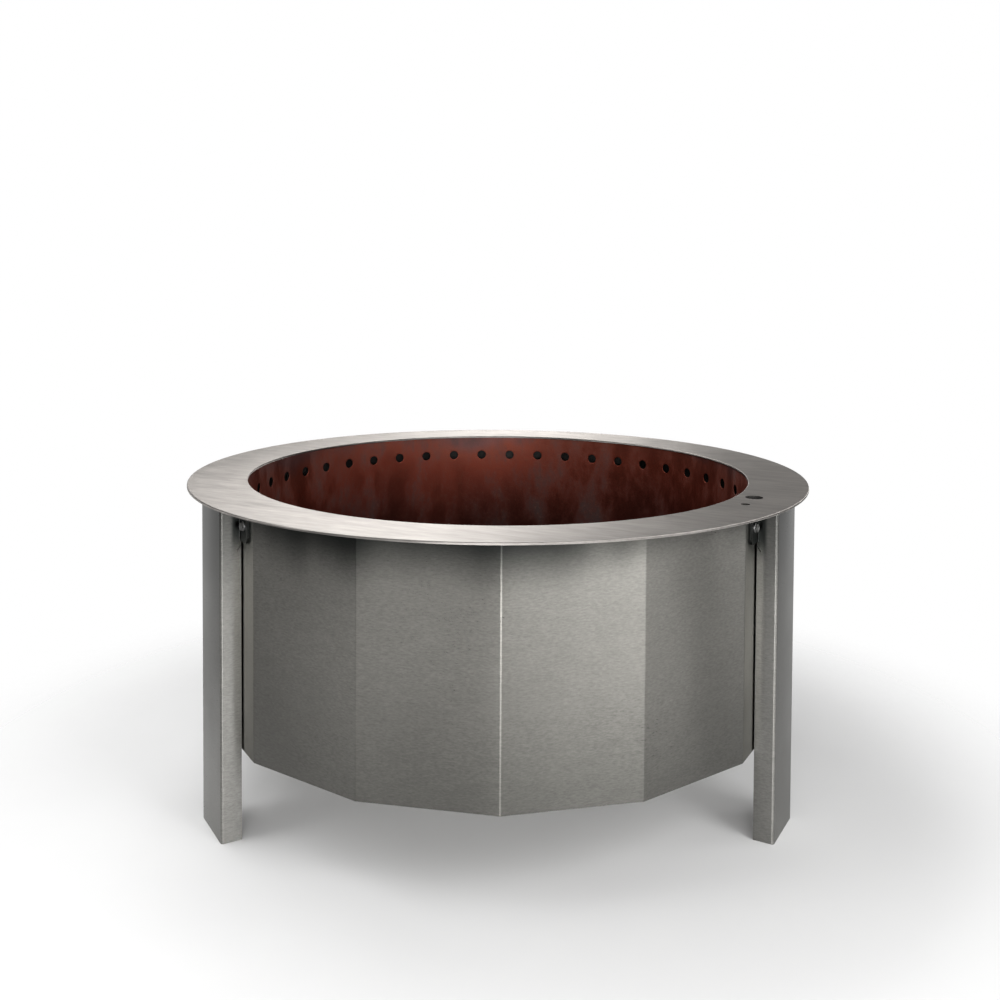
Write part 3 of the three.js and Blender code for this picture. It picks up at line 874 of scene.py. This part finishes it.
def pan():
    """The ash pan: a spun dish with rounded bends and a flat lip, built on the middle line of its
    section."""
    middle = PAN_SHEET / 2
    points = [Vector(point) for point in (
        (0, middle), (PAN_FLOOR, middle), (PAN_RADIUS - PAN_LIP, PAN_DEPTH - middle),
        (PAN_RADIUS, PAN_DEPTH - middle))]
    upper, lower = [], []

    def offset(point, direction):
        upper.append(point + across_of(direction) * PAN_SHEET / 2)
        lower.append(point - across_of(direction) * PAN_SHEET / 2)

    offset(points[0], Vector((1, 0)))
    for i in (1, 2):
        before = (points[i] - points[i - 1]).normalized()
        after = (points[i + 1] - points[i]).normalized()
        start, end = points[i] - before * PAN_BEND, points[i] + after * PAN_BEND
        for step in range(7):
            share = step / 6
            curve = start.lerp(points[i], share).lerp(points[i].lerp(end, share), share)
            offset(curve, before.lerp(after, share).normalized())
    offset(points[3], Vector((1, 0)))
    upper[0].x = lower[0].x = 0.0
    return lathe([tuple(point) for point in (*lower, *reversed(upper))], DISH_SEGMENTS)


piece("ash_pan", shifted(pan(), 0, 0, PAN_LEVEL), edge=0, sharp=50)


def grate():
    """The fire grate: a thick plate with rows of radial slots and a lifting hole."""
    plate = lathe([(GRATE_HOLE, 0), (GRATE_RADIUS, 0), (GRATE_RADIUS, GRATE_SHEET - GRATE_EDGE),
                   (GRATE_RADIUS - GRATE_EDGE, GRATE_SHEET), (GRATE_HOLE, GRATE_SHEET)],
                  DISH_SEGMENTS)
    end_radius = SLOT_WIDTH / 2
    slots = []
    for count, inner, outer in SLOT_ROWS:
        half = ((outer - inner) * GRATE_RADIUS - SLOT_WIDTH) / 2
        outline = []
        for end, centre in enumerate((half, -half)):
            for step in range(9):
                angle = math.pi * (end + step / 8)
                x, y = end_radius * math.cos(angle), end_radius * math.sin(angle)
                outline.append((x, y + centre))
        for i in range(count):
            slot = prism(outline, -OVERCUT, GRATE_SHEET + OVERCUT)
            shifted(slot, 0, GRATE_RADIUS * (inner + outer) / 2, 0)
            slots.append(facing(slot, (i + 0.5) / count * FULL_TURN))
    return carved(plate, slots)


piece("fire_grate", shifted(grate(), 0, 0, GRATE_LEVEL), edge=0.4)

for index in range(4):
    foot = folded([(-FOOT_ARM, 0), (0, 0), (0, FOOT_ARM)], FOOT_SHEET, [FOOT_BEND], 0, FOOT_HEIGHT)
    moved(foot, Matrix.Rotation(-QUARTER_TURN / 2, 4, "Z"))
    shifted(foot, 0, -FOOT_RADIUS, FOOT_LEVEL)
    piece(f"grate_foot_{index + 1}", facing(foot, index * QUARTER_TURN))


def socket():
    """The post socket: a tube with a closed bottom under the post hole."""
    top = RIM_UNDER - SEAT
    inside = top - SOCKET_DEPTH
    bottom = inside - SOCKET_FLOOR
    tube = lathe([(0, bottom), (SOCKET_OUTER, bottom), (SOCKET_OUTER, top), (POST_HOLE, top),
                  (POST_HOLE, inside), (0, inside)], POST_SEGMENTS)
    return facing(shifted(tube, 0, -POST_RADIUS, 0), leg_azimuth(0))


POST_AXIS = Matrix.Rotation(leg_azimuth(0), 2) @ Vector((0, -POST_RADIUS))
# The socket's inside gets the dark steel that paints its shade.
piece("post_socket", socket(), edge=0, in_shade=looks_at(POST_AXIS))

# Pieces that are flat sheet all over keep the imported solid, with its edges broken.
for node in frame["nodes"]:
    if f"{node}_fine" in bpy.data.objects:
        continue
    solid = frame["nodes"][node]
    solid.data.materials.clear()
    solid.data.materials.append(FINISHES[SLOTS[node]])
    solid.modifiers.new("weld", "WELD").merge_threshold = WELD_REACH * MM
    break_edges(solid, PACKED_EDGE, PACKED_SHARP)


# Floor, light and camera

# The distances from the middle between which the floor thins out.
FLOOR_FADE = (0.6, 1.0)
FLOOR_GREYS = (0.74, 0.76)
FLOOR_SEGMENTS = 96


def floor():
    """A pale floor that thins out into the pale surroundings."""
    made, tree, shader = material("floor")
    place = tree.place()
    mottle = tree.noise(place, 3.0, detail=3.0)
    tree.feed(tree.ramp(mottle, zip((0.3, 0.7), FLOOR_GREYS)), shader.inputs["Base Color"])
    shader.inputs["Roughness"].default_value = 0.9
    shader.inputs["Specular IOR Level"].default_value = 0.0
    reach = tree.add("ShaderNodeVectorMath", {"Vector": place}, operation="LENGTH").outputs["Value"]
    tree.feed(tree.span(reach, *FLOOR_FADE, 1.0, 0.0), shader.inputs["Alpha"])
    data = bpy.data.meshes.new("floor")
    points = [(x, y, 0) for x, y in circle(FLOOR_FADE[1], FLOOR_SEGMENTS)]
    data.from_pydata(points, [], [tuple(range(FLOOR_SEGMENTS))])
    data.materials.append(made)
    sheet = placed("floor", data)


floor()

# Soft area lamps, which the camera doesn't see: a key light at the front right, a wide top light at
# the back left, two at the left, low fills around the camera and one at the right side. Azimuth and
# elevation are in degrees, width and height in metres and power in watts.
LAMP_AIM = Vector((0, 0, 0.3))
LAMP_DISTANCE = 2.6
LAMPS = {
    "key_soft": (42, 33, 1.0, 1.0, 19),
    "back_top": (-135, 66, 1.5, 0.9, 29),
    "left_high": (-78, 50, 1.4, 0.9, 16),
    "left_low": (-66, 33, 0.9, 0.9, 9),
    "low_fill": (-1, 5, 1.25, 0.9, 43),
    "low_left": (-26, 5, 0.8, 0.9, 4.4),
    "low_right": (29, 5, 1.2, 0.9, 17),
    "low_far_right": (58, 5, 1.3, 0.9, 12),
    "right_side": (86, 16, 0.7, 0.7, 6),
}

for name, (azimuth, elevation, width, height, power) in LAMPS.items():
    light = bpy.data.lights.new(name, "AREA")
    light.shape = "RECTANGLE"
    light.size = width
    light.size_y = height
    light.energy = power
    lamp = placed(name, light)
    climb = math.radians(elevation)
    direction = Vector(polar(math.cos(climb), math.radians(azimuth), math.sin(climb)))
    lamp.location = LAMP_AIM + LAMP_DISTANCE * direction
    lamp.rotation_euler = (LAMP_AIM - lamp.location).to_track_quat("-Z", "Y").to_euler()
    lamp.visible_camera = False

# The surroundings: white behind the object up to a height, plain grey elsewhere, a little lighter
# towards the ground. The grey changes and the white ends between elevations in degrees. The white
# widens by its slope and begins between two values of how far behind the heading points.
SURROUND_GREY = (0.38, 0.38, 0.38)
GROUND_GREY = (0.45, 0.45, 0.45)
WHITE = (1.0, 1.0, 1.0)
GROUND_END = (-8, 2)
WHITE_END = (18, 32)
WHITE_SLOPE = 0.8
WHITE_START = (0.08, 0.42)

world = bpy.data.worlds.new("studio")
bpy.context.scene.world = world
world.use_nodes = True
studio = Tree(world.node_tree)
heading = studio.split(studio.add("ShaderNodeTexCoord").outputs["Generated"])


def risen(start, end):
    """How far the heading has risen from one elevation to another, in degrees."""
    return studio.span(heading["Z"], *(math.sin(math.radians(angle)) for angle in (start, end)))


aside = studio.math("MULTIPLY", studio.math("ABSOLUTE", heading["X"]), WHITE_SLOPE)
behind = studio.span(studio.math("SUBTRACT", heading["Y"], aside), *WHITE_START)
around = studio.mix(risen(*GROUND_END), GROUND_GREY, SURROUND_GREY)
white = studio.mix(risen(*WHITE_END), WHITE, SURROUND_GREY)
background = studio.add("ShaderNodeBackground",
                        {"Color": studio.mix(behind, around, white), "Strength": 1.0})
output = studio.add("ShaderNodeOutputWorld")
studio.links.new(background.outputs[0], output.inputs["Surface"])

# The camera stands where a fit to the photograph's rim ellipses, folds and leg ends puts it.
CAMERA_PLACE = Vector((-0.0198, -1.7296, 0.7683))
CAMERA_TURN = math.radians(0.519)
CAMERA_PITCH = math.radians(2.075)
CAMERA_ROLL = math.radians(0.308)
FRAME_PIXELS = 1000
FOCAL_PIXELS = 1093.2
PRINCIPAL_POINT = (496.05, 319.63)
SENSOR_WIDTH = 36

lens = bpy.data.cameras.new("camera")
lens.sensor_width = SENSOR_WIDTH
lens.lens = FOCAL_PIXELS / FRAME_PIXELS * SENSOR_WIDTH
lens.shift_x = 0.5 - PRINCIPAL_POINT[0] / FRAME_PIXELS
lens.shift_y = PRINCIPAL_POINT[1] / FRAME_PIXELS - 0.5
lens.clip_start = 0.05
camera = placed("camera", lens)
camera.matrix_world = (Matrix.Translation(CAMERA_PLACE) @ Matrix.Rotation(-CAMERA_TURN, 4, "Z")
                       @ Matrix.Rotation(QUARTER_TURN - CAMERA_PITCH, 4, "X")
                       @ Matrix.Rotation(CAMERA_ROLL, 4, "Z"))
bpy.context.scene.camera = camera
bpy.context.scene.view_settings.view_transform = "Standard"
